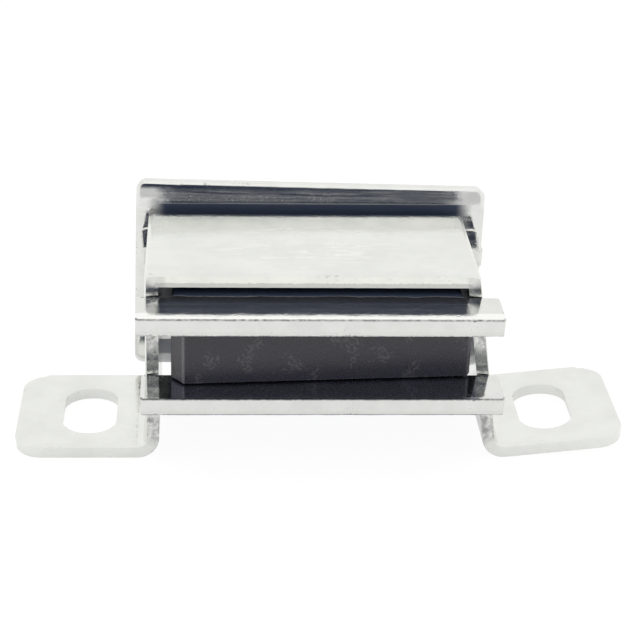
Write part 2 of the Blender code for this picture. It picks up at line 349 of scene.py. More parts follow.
def banded(tree, value, rise, full, fall, gone):
    """One inside a band, and nothing outside its soft sides."""
    return times(tree, eased(tree, value, rise, full), faded(tree, value, fall, gone))


def blended(tree, share, first, second):
    """A colour between two colours."""
    made = wired(tree, "ShaderNodeMix", {0: share, 6: first, 7: second}, data_type="RGBA")
    return made.outputs[2]


def layered(tree, colour, layers):
    """A colour with (share, colour) layers laid over it, one upon the other."""
    for share, over in layers:
        colour = blended(tree, share, colour, over)
    return colour


def stretched(tree, place, scale):
    """A place on the surface, stretched along its axes."""
    inputs = {0: place, 1: scale}
    return wired(tree, "ShaderNodeVectorMath", inputs, operation="MULTIPLY").outputs[0]


def clouded(tree, place, scale, detail, roughness=0.5):
    """Soft clouds of noise over a place, with finer ones on them."""
    inputs = {"Vector": place, "Scale": scale, "Detail": detail, "Roughness": roughness}
    return wired(tree, "ShaderNodeTexNoise", inputs).outputs["Fac"]


def effect(name, inputs, outputs):
    """A new surface effect with named sockets, and its ends inside."""
    tree = bpy.data.node_groups.new(name, "ShaderNodeTree")
    for direction, sockets in (("INPUT", inputs), ("OUTPUT", outputs)):
        for socket, kind in sockets.items():
            tree.interface.new_socket(socket, in_out=direction, socket_type=kind)
    return tree, tree.nodes.new("NodeGroupInput"), tree.nodes.new("NodeGroupOutput")


def placed(tree, group, inputs):
    """An effect, set into a material with its own values."""
    return wired(tree, "ShaderNodeGroup", inputs, node_tree=group)


FLOAT, VECTOR = "NodeSocketFloat", "NodeSocketVector"


def dents_from_tumbling():
    """Small dents from knocking together: some cells of a cell pattern hold a shallow bowl."""
    sockets = {"Place": VECTOR, "Per metre": FLOAT, "Share": FLOAT}
    tree, start, end = effect("tumble_dents", sockets, {"Height": FLOAT})
    place, per_metre, share = start.outputs[:3]
    warp = wired(tree, "ShaderNodeTexNoise", {"Vector": place, "Scale": 1500.0})
    bent = stretched(tree, warp.outputs["Color"], (0.3 * mm, 0.3 * mm, 0.3 * mm))
    shifted = wired(tree, "ShaderNodeVectorMath", {0: place, 1: bent}, operation="ADD").outputs[0]
    cells = wired(tree, "ShaderNodeTexVoronoi", {"Vector": shifted, "Scale": per_metre})
    chance = wired(tree, "ShaderNodeSeparateColor", {"Color": cells.outputs["Color"]}).outputs[0]
    bowl = faded(tree, cells.outputs["Distance"], 0.05, 0.42)
    held = times(tree, bowl, worked(tree, "LESS_THAN", chance, share))
    tree.links.new(times(tree, held, -1.0), end.inputs["Height"])
    return tree


def film_of_handling():
    """A thin uneven film of handling and tumbling, as soft clouds over finer ones."""
    sockets = {"Place": VECTOR, "Per metre": FLOAT}
    tree, start, end = effect("cloudy_film", sockets, {"Value": FLOAT})
    place, per_metre = start.outputs[:2]
    clouds = clouded(tree, place, per_metre, detail=6.0, roughness=0.62)
    tree.links.new(eased(tree, clouds, 0.3, 0.7), end.inputs["Value"])
    return tree


def scuffs_one_way():
    """Fine scuffs that run one way: narrow ridges of a noise that is drawn out."""
    sockets = {"Place": VECTOR, "Drawn out": VECTOR, "Share": FLOAT}
    tree, start, end = effect("drawn_scuffs", sockets, {"Mask": FLOAT})
    place, drawn_out, share = start.outputs[:3]
    long_place = stretched(tree, place, drawn_out)
    strands = clouded(tree, long_place, 1.0, detail=3.0, roughness=0.6)
    bare = worked(tree, "SUBTRACT", 0.85, share)
    full = worked(tree, "ADD", bare, 0.1)
    limits = {"Value": strands, 1: bare, 2: full, 3: 0.0, 4: 1.0}
    ridge = wired(tree, "ShaderNodeMapRange", limits)
    tree.links.new(ridge.outputs[0], end.inputs["Mask"])
    return tree


def streaks_of_shearing():
    """The cut face of sheared metal: streaks across the thickness, and a torn, dull lower part."""
    sockets = {"Place": VECTOR, "Cut": FLOAT, "Torn below": FLOAT}
    tree, start, end = effect("sheared_streaks", sockets, {"Height": FLOAT, "Torn": FLOAT})
    place, cut, torn_below = start.outputs[:3]
    streak_place = stretched(tree, place, (5200.0, 5200.0, 500.0))
    streaks = clouded(tree, streak_place, 1.0, detail=3.0, roughness=0.7)
    crumbs = clouded(tree, place, 9000.0, detail=2.0)
    depth = wired(tree, "ShaderNodeSeparateXYZ", {"Vector": place}).outputs[2]
    wander = worked(tree, "MULTIPLY_ADD", streaks, 0.4 * mm, -0.2 * mm)
    below = worked(tree, "SUBTRACT", worked(tree, "ADD", torn_below, wander), depth)
    torn = times(tree, eased(tree, below, 0.0, 0.12 * mm), cut)
    rough = worked(tree, "MULTIPLY_ADD", crumbs, torn, streaks)
    tree.links.new(times(tree, rough, cut), end.inputs["Height"])
    tree.links.new(torn, end.inputs["Torn"])
    return tree


def nicks_by_edges():
    """Nicks and rubbed spots that lie close to an edge, where sheets have knocked together."""
    sockets = {"Place": VECTOR, "From edge": FLOAT, "Reach": FLOAT, "Share": FLOAT}
    tree, start, end = effect("edge_nicks", sockets, {"Mask": FLOAT})
    place, from_edge, reach, share = start.outputs[:4]
    spots = clouded(tree, place, 3400.0, detail=2.0)
    patches = clouded(tree, place, 420.0, detail=1.0)
    close = worked(tree, "SUBTRACT", 1.0, worked(tree, "DIVIDE", from_edge, reach))
    close = worked(tree, "MAXIMUM", close, 0.0)
    fading = times(tree, close, eased(tree, patches, 0.4, 0.7))
    lifted = worked(tree, "MULTIPLY_ADD", fading, share, spots)
    tree.links.new(eased(tree, lifted, 0.8, 0.86), end.inputs["Mask"])
    return tree


tumble_dents = dents_from_tumbling()
cloudy_film = film_of_handling()
drawn_scuffs = scuffs_one_way()
sheared_streaks = streaks_of_shearing()
edge_nicks = nicks_by_edges()


def surface_of(name):
    """A new metal or stone surface: its tree, its shader, and where a point is on its blank."""
    material = bpy.data.materials.new(name)
    material.use_nodes = True
    tree = material.node_tree
    place = wired(tree, "ShaderNodeAttribute", {}, attribute_name="flat").outputs["Vector"]
    return material, tree, tree.nodes["Principled BSDF"], place


def kept(tree, attribute):
    """A value that the mesh keeps at each of its points."""
    return wired(tree, "ShaderNodeAttribute", {}, attribute_name=attribute).outputs["Fac"]


def relief(tree, shader, heights):
    """Bumps on the surface, from (height, depth in metres) pairs, one upon the other."""
    normal = None
    for height, depth in heights:
        inputs = {"Height": height, "Distance": depth}
        if normal is not None:
            inputs["Normal"] = normal
        normal = wired(tree, "ShaderNodeBump", inputs).outputs["Normal"]
    tree.links.new(normal, shader.inputs["Normal"])


ear_flat = EAR_LENGTH - EAR_BEND
cover_arc = COVER_BEND - STRIP_THICKNESS / 2
ear_arc = EAR_BEND + STRIP_THICKNESS / 2
right_drop = RIGHT_ANGLE - LEG_SPLAY
left_wall = HOUSING_HEIGHT - COVER_BEND - EAR_BEND - STRIP_THICKNESS
right_wall = (
    HOUSING_HEIGHT - STRIP_THICKNESS - (cover_arc + ear_arc) * (1 - math.cos(right_drop))
) / math.sin(right_drop)

# The strip's middle line from the left ear's end: the length of each stretch, and how it turns
left_ear = [(ear_flat, 0.0), (ear_arc * RIGHT_ANGLE, RIGHT_ANGLE)]
cover = [
    (cover_arc * RIGHT_ANGLE, -RIGHT_ANGLE),
    (COVER_WIDTH - 2 * COVER_BEND, 0.0),
    (cover_arc * right_drop, -right_drop),
]
right_ear = [(ear_arc * (right_drop + EAR_LIFT), right_drop + EAR_LIFT), (ear_flat, 0.0)]
to_right_wall = left_ear + [(left_wall, 0.0)] + cover
stretches = to_right_wall + [(right_wall, 0.0)] + right_ear
strip_length = sum(length for length, turn in stretches)
housing_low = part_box("housing")[0]

to_cover = left_ear + [(left_wall, 0.0)] + cover[:1]
half_cover = COVER_WIDTH / 2 - COVER_BEND
COVER_MIDDLE = sum(length for length, turn in to_cover) + half_cover
SCUFFED_MIDDLE = (COVER_MIDDLE - 1.0 * mm, 7.0 * mm, STRIP_THICKNESS / 2)
SCUFFED_REACH = (1 / (11.0 * mm), 1 / (6.0 * mm), 1 / (4.0 * mm))


def set_square(turn_so_far, turn):
    """How much the die sets a bend out towards a square corner, as a share of its radius."""
    half = abs(turn) / 2
    off_middle = abs(abs(turn_so_far) - half)
    arm = COVER_BEND - COVER_CORNER
    rounded = half - math.atan(arm * math.tan(half) / COVER_BEND)
    if off_middle > rounded:
        reach = COVER_BEND / math.cos(half - off_middle)
    else:
        centre = arm / math.cos(half)
        across = centre * math.sin(off_middle)
        reach = centre * math.cos(off_middle) + math.sqrt(COVER_CORNER**2 - across**2)
    return reach / COVER_BEND


def folded(along, out):
    """Where a place on the flat strip comes to, in X and Z, and the strip's heading there."""
    place = Vector((housing_low.x, STRIP_THICKNESS / 2))
    heading = 0.0
    for index, (length, turn) in enumerate(stretches):
        last = index == len(stretches) - 1
        part = along if last else min(along, length)
        side = Vector((-math.sin(heading), math.cos(heading)))
        if turn:
            radius = length / turn
            centre = place + side * radius
            heading += turn * part / length
            side = Vector((-math.sin(heading), math.cos(heading)))
            place = centre - side * radius
            if turn < 0 and along <= length:
                spread = set_square(turn * part / length, turn)
                return centre + side * (out - radius) * spread, heading
        else:
            place = place + turned(side, -RIGHT_ANGLE) * part
        along -= part
        if along <= 0:
            break
    return place + Vector((-math.sin(heading), math.cos(heading))) * out, heading


def notch_corners(before_wall):
    """The corners of one wall's two notches, in order along the strip."""
    first = sum(length for length, turn in before_wall)
    start, heading = folded(first, 0.0)
    levels = []
    for low, high in NOTCH_HEIGHTS:
        levels.append(sorted(first + (z - start.y) / math.sin(heading) for z in (low, high)))
    corners = []
    for near, far in sorted(levels):
        corners += [(near, STRIP_WIDTH), (near, STRIP_WIDTH - NOTCH_DEPTH)]
        corners += [(far, STRIP_WIDTH - NOTCH_DEPTH), (far, STRIP_WIDTH)]
    return [(x, y, NOTCH_CORNER) for x, y in corners]


def housing_mesh():
    """The pierced and notched blank, folded along its bend lines."""
    corners = [(0.0, 0.0, EAR_CORNER), (strip_length, 0.0, EAR_CORNER)]
    corners.append((strip_length, STRIP_WIDTH, EAR_CORNER))
    corners += reversed(notch_corners(left_ear) + notch_corners(to_right_wall))
    corners.append((0.0, STRIP_WIDTH, EAR_CORNER))
    edge = sheared_edge(STRIP_THICKNESS, STRIP_ROLL)
    edges = [edge_rings(corners, edge, crisp_from=STRIP_WIDTH - BURR)]
    slot_place = EAR_LENGTH - SLOT_FROM_WALL
    for along in (slot_place, strip_length - slot_place):
        edges.append(slot_rings(along, STRIP_WIDTH / 2, SLOT_WIDTH, SLOT_LENGTH, edge))
    fold_lines, start = [], 0.0
    for length, turn in stretches:
        steps = BEND_STEPS if turn else math.ceil(length / GRID_STEP)
        fold_lines += [start + length * step / steps for step in range(steps)]
        start += length
    rows = [row * GRID_STEP for row in range(1, math.ceil(STRIP_WIDTH / GRID_STEP))]
    blank = blank_sheet(edges, fold_lines[1:], rows)
    for vert in blank.verts:
        place, heading = folded(vert.co.x, vert.co.z)
        vert.co = (place.x, housing_low.y + vert.co.y, place.y)
    return blank


def tumbled_aluminium():
    """Bright tumbled aluminium, scuffed on the cover, dark on cut edges, painted highlight and
    shade.
    """
    material, tree, shader, place = surface_of("tumbled_aluminium")
    cut, gap = kept(tree, "cut"), kept(tree, "from_edge")
    along, _, out = wired(tree, "ShaderNodeSeparateXYZ", {"Vector": place}).outputs
    sideways = worked(tree, "ABSOLUTE", worked(tree, "SUBTRACT", along, COVER_MIDDLE))
    covered = faded(tree, sideways, *COVER_ENDS)
    # The cover's underside, painted dark navy, rough and not metal, as shade
    inside = worked(tree, "LESS_THAN", out, -STRIP_THICKNESS * 0.49)
    underside_shade = times(tree, inside, covered)

    film = placed(tree, cloudy_film, {"Place": place, "Per metre": 260.0}).outputs[0]
    fine = placed(tree, cloudy_film, {"Place": place, "Per metre": 1900.0}).outputs[0]
    smears = placed(tree, cloudy_film, {"Place": place, "Per metre": 1500.0}).outputs[0]
    dents = placed(tree, tumble_dents, {"Place": place, "Per metre": 1300.0, "Share": 0.35})
    by_edges = {"Place": place, "From edge": gap, "Reach": 1.1 * mm, "Share": 0.28}
    nicks = placed(tree, edge_nicks, by_edges).outputs[0]
    on_cut = {"Place": place, "Cut": cut, "Torn below": -0.1 * mm}
    sheared = placed(tree, sheared_streaks, on_cut)
    strands = {"Place": place, "Drawn out": (420.0, 1500.0, 420.0), "Share": 0.33}
    scuffs = placed(tree, drawn_scuffs, strands).outputs[0]
    from_middle = {0: place, 1: SCUFFED_MIDDLE}
    middle = wired(tree, "ShaderNodeVectorMath", from_middle, operation="SUBTRACT").outputs[0]
    spread = stretched(tree, middle, SCUFFED_REACH)
    reach = wired(tree, "ShaderNodeVectorMath", {0: spread}, operation="LENGTH").outputs["Value"]

    scuffed = times(tree, scuffs, faded(tree, reach, 0.4, 1.0))
    # Painted highlight: the cut edges at the bends, light and matt
    chalky_lit = times(tree, cut, banded(tree, sideways, *CHALKY_LIT_BEND))
    # The walls' cut edges, darker and mottled, most of all next to the cover
    dark_wall = times(tree, times(tree, cut, banded(tree, sideways, *DARK_WALL_BAND)), smears)
    torn = times(tree, sheared.outputs["Torn"], covered)
    layers = [
        (film, FILMED_ALUMINIUM),
        (times(tree, scuffed, 0.8), SCUFFED_ALUMINIUM),
        (times(tree, nicks, 0.25), NICKED_ALUMINIUM),
        (chalky_lit, CHALKY_LIT_ALUMINIUM),
        (times(tree, dark_wall, eased(tree, sideways, *DARK_WALL_THINS, 0.95, 0.7)), DARK_WALL_EDGE),
        (times(tree, torn, 0.55), TORN_ALUMINIUM),
        (underside_shade, UNDERSIDE_SHADE),
    ]
    rough = built_up(tree, 0.11, [(fine, 0.05), (dark_wall, 0.2), (scuffed, 0.2), (underside_shade, 0.4)])
    metal = built_up(tree, 1.0, [(chalky_lit, -0.85), (underside_shade, -1.0)])
    tree.links.new(layered(tree, ALUMINIUM, layers), shader.inputs["Base Color"])
    tree.links.new(rough, shader.inputs["Roughness"])
    tree.links.new(metal, shader.inputs["Metallic"])
    bumps = [(film, 0.012 * mm), (dents.outputs["Height"], 0.004 * mm)]
    relief(tree, shader, bumps + [(sheared.outputs["Height"], 0.002 * mm)])
    return material


housing = piece_from("housing_folded", housing_mesh(), tumbled_aluminium())
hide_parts("housing")
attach(housing, "housing")


# Pole plates
# Two equal steel stampings with a rear bar, a waist and a front bar, plated bright after shearing.
# They lie loose in the housing's notches, and the magnet between them holds them there.

PLATE_LENGTH = 31.75 * mm
PLATE_DEPTH = 20.8 * mm
PLATE_THICKNESS = 1.6 * mm
PLATE_WAIST = 25.4 * mm
PLATE_BAR = 4.9 * mm
PLATE_CORNER = 0.35 * mm
WAIST_CORNER = 0.6 * mm
PLATE_ROLL = (0.5 * mm, 0.06 * mm, math.radians(60))
HIGHLIGHT_MARGIN = 1.5 * mm

PLATING = (0.78, 0.785, 0.765, 1.0)
FILMED_PLATING = (0.7332, 0.7379, 0.7191, 1.0)
NICKED_PLATING = (0.5, 0.5, 0.5, 1.0)
TORN_PLATING = (0.5, 0.5, 0.49, 1.0)
# Painted highlight: brighter plating on the upper plate's bars, where they mirror the sky
BAR_HIGHLIGHT = (0.95, 0.95, 0.93, 1.0)
# Painted shade: the lower plate's bars, dark and bluish under the magnet
LOWER_BAR_SHADE = (0.42, 0.43, 0.52, 1.0)
# Painted shade: navy on the plates' waists between the walls, under the cover and the magnet
POLE_SHADE = (0.06, 0.08, 0.13, 1.0)
# Painted shade: a dotted dark line along the front crease of each top
CREASE_SHADE = (0.1, 0.1, 0.11, 1.0)

BETWEEN_WALLS = [PLATE_WAIST * share for share in (0.52, 0.54)]
ON_FACE = [PLATE_THICKNESS * share for share in (0.44, 0.47)]
CREASE = (0.06 * mm, 0.22 * mm)
FRONT_EDGE = (0.3 * mm, 0.6 * mm)


def bright_plating(name, scuff_share, soil_and_painted_light):
    """Bright plating over sheared steel, with streaked edges, and soil and painted light of its own
    on each piece.
    """
    material, tree, shader, place = surface_of(name)
    cut, gap = kept(tree, "cut"), kept(tree, "from_edge")
    film = placed(tree, cloudy_film, {"Place": place, "Per metre": 500.0}).outputs[0]
    fine = placed(tree, cloudy_film, {"Place": place, "Per metre": 3200.0}).outputs[0]
    dents = placed(tree, tumble_dents, {"Place": place, "Per metre": 2100.0, "Share": 0.16})
    strands = {"Place": place, "Drawn out": (160.0, 4200.0, 300.0), "Share": scuff_share}
    scuffs = placed(tree, drawn_scuffs, strands).outputs[0]
    by_edges = {"Place": place, "From edge": gap, "Reach": 0.5 * mm, "Share": 0.33}
    nicks = placed(tree, edge_nicks, by_edges).outputs[0]
    on_cut = {"Place": place, "Cut": cut, "Torn below": -0.35 * mm}
    sheared = placed(tree, sheared_streaks, on_cut)

    layers = [
        (film, FILMED_PLATING),
        (times(tree, nicks, 0.5), NICKED_PLATING),
        (times(tree, sheared.outputs["Torn"], 0.12), TORN_PLATING),
    ]
    plated = layered(tree, PLATING, layers)
    colour, metal, soil = soil_and_painted_light(tree, place, gap, film, plated)
    causes = [(fine, 0.03), (soil, 0.35), (cut, 0.12), (nicks, 0.25), (scuffs, 0.1)]
    tree.links.new(colour, shader.inputs["Base Color"])
    tree.links.new(built_up(tree, 0.06, causes), shader.inputs["Roughness"])
    tree.links.new(metal, shader.inputs["Metallic"])
    bumps = [(film, 0.004 * mm), (dents.outputs["Height"], 0.003 * mm)]
    bumps += [(sheared.outputs["Height"], 0.002 * mm), (nicks, 0.005 * mm)]
    relief(tree, shader, bumps)
    return material


def painted_light_and_flecks(bar_colour, highlight_margin):
    """Painted shade between the walls and on the front crease, flecks on the bars, painted light on
    their tops.
    """

    def soil_and_painted_light(tree, place, gap, film, colour):
        near_edge = {"Place": place, "From edge": gap, "Reach": 4.2 * mm, "Share": 0.24}
        flecks = placed(tree, edge_nicks, near_edge).outputs[0]
        mirrored = wired(tree, "ShaderNodeVectorMath", {0: place}, operation="ABSOLUTE")
        split = wired(tree, "ShaderNodeSeparateXYZ", {"Vector": mirrored.outputs[0]})
        across, along, height = split.outputs
        between = faded(tree, across, *BETWEEN_WALLS)
        # The waist between the walls, painted navy as shade
        bar = PLATE_DEPTH / 2 - PLATE_BAR
        uneven_end = worked(tree, "MULTIPLY_ADD", film, 0.3 * mm, along)
        painted_shade = times(tree, between, faded(tree, uneven_end, bar, bar + 0.2 * mm))
        # Bar faces, painted lighter on the upper plate as a highlight and darker on the lower as
        # shade
        margin = PLATE_DEPTH / 2 - highlight_margin
        bar_light_and_shade = worked(tree, "MAXIMUM", between, eased(tree, along, margin, margin + 0.3 * mm))
        # A painted shade line along the front edge of the top face
        toward_front = wired(tree, "ShaderNodeSeparateXYZ", {"Vector": place}).outputs[1]
        past_edge = worked(tree, "ADD", toward_front, PLATE_DEPTH / 2)
        crease = times(tree, faded(tree, gap, *CREASE), faded(tree, past_edge, *FRONT_EDGE))
        dots = placed(tree, cloudy_film, {"Place": place, "Per metre": 2600.0}).outputs[0]
        layers = [
            (times(tree, bar_light_and_shade, eased(tree, height, *ON_FACE)), bar_colour),
            (painted_shade, POLE_SHADE),
            (times(tree, crease, worked(tree, "MULTIPLY_ADD", dots, 0.7, 0.3)), CREASE_SHADE),
        ]
        metal = built_up(tree, 0.97, [(painted_shade, -0.97)])
        soil = worked(tree, "MAXIMUM", painted_shade, flecks)
        return layered(tree, colour, layers), metal, soil

    return soil_and_painted_light


def middle_of(node):
    """The middle of a solid's box."""
    low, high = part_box(node)
    return (low + high) / 2


def grid_lines(half):
    """Lines a grid step apart, out from the middle to both sides."""
    count = math.ceil(half / GRID_STEP) - 1
    return [GRID_STEP * step for step in range(-count, count + 1)]


def plate_mesh(place):
    """One pole plate about its own middle, then set where its solid is."""
    end, waist = PLATE_LENGTH / 2, PLATE_WAIST / 2
    rear, front = -PLATE_DEPTH / 2, PLATE_DEPTH / 2
    right = [(end, rear, PLATE_CORNER), (end, rear + PLATE_BAR, PLATE_CORNER)]
    right += [(waist, rear + PLATE_BAR, WAIST_CORNER), (waist, front - PLATE_BAR, WAIST_CORNER)]
    right += [(end, front - PLATE_BAR, PLATE_CORNER), (end, front, PLATE_CORNER)]
    left = [(-x, y, radius) for x, y, radius in reversed(right)]
    edges = [edge_rings(right + left, sheared_edge(PLATE_THICKNESS, PLATE_ROLL, UNDERCUT / 2))]
    plate = blank_sheet(edges, grid_lines(end), grid_lines(front))
    bmesh.ops.translate(plate, verts=plate.verts, vec=place)
    return plate


tops = {
    "upper": painted_light_and_flecks(BAR_HIGHLIGHT, HIGHLIGHT_MARGIN),
    "lower": painted_light_and_flecks(LOWER_BAR_SHADE, 0.0),
}
for level, top in tops.items():
    node = f"{level}_pole_plate"
    finish = bright_plating(f"{level}_pole_plating", scuff_share=0.3, soil_and_painted_light=top)
    plate = piece_from(f"{level}_plate_stamped", plate_mesh(middle_of(node)), finish)
    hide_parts(node)
    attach(plate, "pole_pack")


# Magnet
# A block of dark ferrite, pressed and fired, with chamfered upright corners and fine chips.
# It isn't glued: it holds itself between the plates, and here it has shifted a little askew.

MAGNET_LENGTH = 26.5 * mm
MAGNET_DEPTH = 13.0 * mm
MAGNET_THICKNESS = 5.72 * mm
MAGNET_CHAMFER = (1.0 * mm, 1.5 * mm)
MAGNET_BEVEL = (0.3 * mm, 0.5 * mm)
MAGNET_TAPER = 0.7 * mm
MAGNET_EDGE = 0.2 * mm
MAGNET_SKEW = math.radians(3.8)

FERRITE = (0.015, 0.013, 0.023, 1.0)
FILMED_FERRITE = (0.01275, 0.01105, 0.01955, 1.0)
SANDY_FERRITE = (0.0225, 0.0195, 0.0345, 1.0)
RUBBED_FERRITE = (0.1, 0.1, 0.11, 1.0)
# The edge of the front-left chamfer, worn, and lighter still as a painted highlight
WORN_AND_HIGHLIT_CORNER = (0.16, 0.16, 0.17, 1.0)
CORNER_LINE = 0.2 * mm
FERRITE_IOR = 1.61


def fired_ferrite():
    """Matte dark ferrite with a sandy grain, pits, edges rubbed lighter, and one corner worn, with
    a painted highlight.
    """
    material, tree, shader, place = surface_of("fired_ferrite")
    gap = kept(tree, "from_edge")
    film = placed(tree, cloudy_film, {"Place": place, "Per metre": 350.0}).outputs[0]
    grain = placed(tree, cloudy_film, {"Place": place, "Per metre": 5200.0}).outputs[0]
    pits = placed(tree, tumble_dents, {"Place": place, "Per metre": 3000.0, "Share": 0.22})
    by_edges = {"Place": place, "From edge": gap, "Reach": 0.4 * mm, "Share": 0.8}
    rubbed = placed(tree, edge_nicks, by_edges).outputs[0]

    along, depth, _ = wired(tree, "ShaderNodeSeparateXYZ", {"Vector": place}).outputs
    # A light line down the front-left chamfer's edge: wear, and a painted highlight
    off_corner = worked(tree, "SUBTRACT", along, MAGNET_CHAMFER[0] - MAGNET_LENGTH / 2)
    at_corner = faded(tree, worked(tree, "ABSOLUTE", off_corner), 0.0, CORNER_LINE)
    front = -MAGNET_DEPTH / 2
    at_front = faded(tree, depth, front + 0.3 * mm, front + 0.6 * mm)
    layers = [
        (film, FILMED_FERRITE),
        (times(tree, grain, 0.6), SANDY_FERRITE),
        (times(tree, rubbed, 0.5), RUBBED_FERRITE),
        (times(tree, times(tree, at_corner, at_front), 0.8), WORN_AND_HIGHLIT_CORNER),
    ]
    tree.links.new(layered(tree, FERRITE, layers), shader.inputs["Base Color"])
    tree.links.new(built_up(tree, 0.24, [(grain, 0.1)]), shader.inputs["Roughness"])
    shader.inputs["IOR"].default_value = FERRITE_IOR
    relief(tree, shader, [(grain, 0.008 * mm), (pits.outputs["Height"], 0.012 * mm)])
    return material


def pressed_edge(thickness, radius):
    """The rounded upright edge of a pressed block, the same at its face and its back."""
    profile = []
    for side in (1, -1):
        for step in range(ROLL_STEPS + 1):
            angle = RIGHT_ANGLE * (step if side > 0 else ROLL_STEPS - step) / ROLL_STEPS
            height = side * (thickness / 2 - radius * (1 - math.cos(angle)))
            profile.append((radius * (1 - math.sin(angle)), height, 0.0))
    return profile


def magnet_mesh(place):
    """The block about its own middle, turned askew and set where its solid is."""
    end, side = MAGNET_LENGTH / 2, MAGNET_DEPTH / 2
    bevel, rise = MAGNET_BEVEL
    outline = [(end - bevel, -side), (end, rise - side), (end, side - rise), (end - bevel, side)]
    chamfer, rise = MAGNET_CHAMFER
    far_end = MAGNET_TAPER - end
    outline += [(far_end + chamfer, side), (far_end, side - rise), (-end, rise - side)]
    outline.append((chamfer - end, -side))
    corners = [(x, y, MAGNET_EDGE) for x, y in outline]
    profile = pressed_edge(MAGNET_THICKNESS, MAGNET_EDGE)
    edges = [edge_rings(corners, profile, waver=0.06 * mm, grain=0.5 * mm)]
    block = blank_sheet(edges, grid_lines(end - chamfer), grid_lines(side))
    turn = Matrix.Translation(place) @ Matrix.Rotation(MAGNET_SKEW, 4, "Z")
    bmesh.ops.transform(block, matrix=turn, verts=block.verts)
    return block


magnet = piece_from("magnet_block", magnet_mesh(middle_of("magnet")), fired_ferrite())
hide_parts("magnet")
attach(magnet, "pole_pack")


# Strike plate
# A steel stamping with a slight crown and a countersunk hole, plated like the poles, for the door.
# The magnet pulls it on to the tips of the pole plates, where it sits turned a little.

STRIKE_LENGTH = 32.89 * mm
STRIKE_HEIGHT = 18.75 * mm
STRIKE_THICKNESS = 1.6 * mm
STRIKE_CORNER = 0.9 * mm
STRIKE_ROLL = (0.44 * mm, 0.16 * mm, math.radians(60))
CROWN = ((1.2 * mm, 0.1 * mm), (2.7 * mm, 0.44 * mm))
CROWN_STEPS = 10
STRIKE_TURN = math.radians(1.1)
HOLE_RADIUS = 1.9 * mm
COUNTERSINK_RADIUS = 3.3 * mm
COUNTERSINK_DEPTH = 1.2 * mm

# Painted highlight: light, less metallic patches at the strike's ends just over the cover
END_HIGHLIGHT = (0.92, 0.92, 0.91, 1.0)
# Painted shade: a navy band on the inner face behind the cover, from just over its level down
STRIKE_SHADE_BAND = (0.03, 0.042, 0.08, 1.0)
# Painted shade on the inner face low behind the housing, eased to a lighter tone at the foot
SHADED_STRIKE = (0.34, 0.35, 0.38, 1.0)
LIGHTER_FOOT = (0.9, 0.9, 0.9, 1.0)

# Soft-sided bands up the inner face, from the level of the housing's cover
HAZE_BAND = (0.7 * mm, 0.95 * mm, 1.7 * mm, 2.1 * mm)
END_HIGHLIGHT_BAND = (0.0, 0.4 * mm, 1.9 * mm, 2.3 * mm)
SHADE_BAND_BELOW = (0.55 * mm, 0.75 * mm)
LOW_SHADE_BELOW = (-2.2 * mm, -1.9 * mm)

# Soft limits out from the middle of the face, and up from its foot
BEHIND_COVER = [COVER_WIDTH * share for share in (0.46, 0.52)]
END_HIGHLIGHT_REACH = (13.4 * mm, 15.2 * mm)
FOOT = (1.0 * mm, 1.3 * mm)


def haze_and_painted_light(tree, place, gap, film, colour):
    """Haze rubbed along the face over the cover, painted highlights by its ends, painted shade
    behind it.
    """
    across, height, out = wired(tree, "ShaderNodeSeparateXYZ", {"Vector": place}).outputs
    inner = eased(tree, out, 0.0, STRIKE_THICKNESS / 4)
    cover_level = HOUSING_HEIGHT - middle_of("strike_plate").z
    level = worked(tree, "MULTIPLY_ADD", across, math.tan(STRIKE_TURN), cover_level)
    over_cover = worked(tree, "SUBTRACT", height, level)
    off_middle = worked(tree, "ABSOLUTE", across)
    behind = times(tree, faded(tree, off_middle, *BEHIND_COVER), inner)

    strands = {"Place": place, "Drawn out": (70.0, 3600.0, 70.0), "Share": 0.5}
    rubbed = placed(tree, drawn_scuffs, strands).outputs[0]
    streaky = worked(tree, "MULTIPLY_ADD", rubbed, 0.75, 0.1)
    haze = times(tree, times(tree, banded(tree, over_cover, *HAZE_BAND), streaky), behind)
    # Painted highlight near each end of the face, just over the cover
    beside = eased(tree, worked(tree, "MULTIPLY_ADD", film, 1.2 * mm, off_middle), *END_HIGHLIGHT_REACH)
    end_highlight = times(tree, times(tree, beside, banded(tree, over_cover, *END_HIGHLIGHT_BAND)), inner)
    # Painted shade behind the cover, from just over its level down
    painted_shade = times(tree, faded(tree, over_cover, *SHADE_BAND_BELOW), behind)
    # Painted shade lower down behind the cover, lighter near the foot
    low_shade = times(tree, faded(tree, over_cover, *LOW_SHADE_BELOW), behind)
    above_foot = worked(tree, "ADD", height, STRIKE_HEIGHT / 2)
    shaded_face = blended(tree, faded(tree, above_foot, *FOOT), SHADED_STRIKE, LIGHTER_FOOT)

    layers = [(end_highlight, END_HIGHLIGHT), (painted_shade, STRIKE_SHADE_BAND), (low_shade, shaded_face)]
    metal = built_up(tree, 1.0, [(haze, -0.13), (painted_shade, -0.9), (end_highlight, -0.75)])
    soil = built_up(tree, painted_shade, [(haze, 0.3)])
    return layered(tree, colour, layers), worked(tree, "MAXIMUM", metal, 0.0), soil


